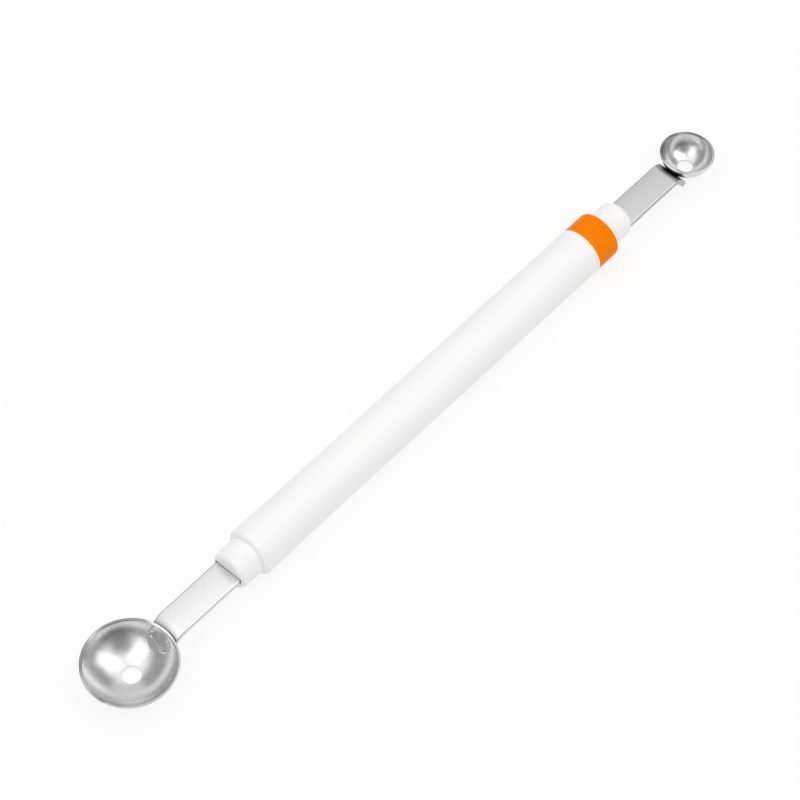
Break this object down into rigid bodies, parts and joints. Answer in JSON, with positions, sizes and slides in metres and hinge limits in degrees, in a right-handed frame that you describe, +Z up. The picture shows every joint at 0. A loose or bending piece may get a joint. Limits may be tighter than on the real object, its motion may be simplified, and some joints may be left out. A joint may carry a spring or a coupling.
{
  "type": "melon baller",
  "caption": "Hand tool with a large and a small pressed steel cup on bent flat tangs, one at each end of a plastic tube handle with a colour ring.",
  "frame": {"origin": "under the middle of the tool, at the middle of the footprint of its box, on the surface that it lies on", "axes": "+X along the handle from the large cup to the small cup, +Y across, +Z up out of the open cups"},
  "size_m": [0.218, 0.024, 0.0133],
  "materials": {
    "white_plastic": "satin moulded, faintly grained",
    "orange_plastic": "satin moulded",
    "tang_steel": "satin rolled, rounded bright edges",
    "cup_steel": "polished, faint ring marks from pressing"
  },
  "bodies": {
    "root": {"handle_tube": "white_plastic", "large_end_plug": "white_plastic", "small_end_plug": "white_plastic", "colour_ring": "orange_plastic", "large_tang": "tang_steel", "small_tang": "tang_steel", "large_cup": "cup_steel", "small_cup": "cup_steel"}
  },
  "joints": []
}
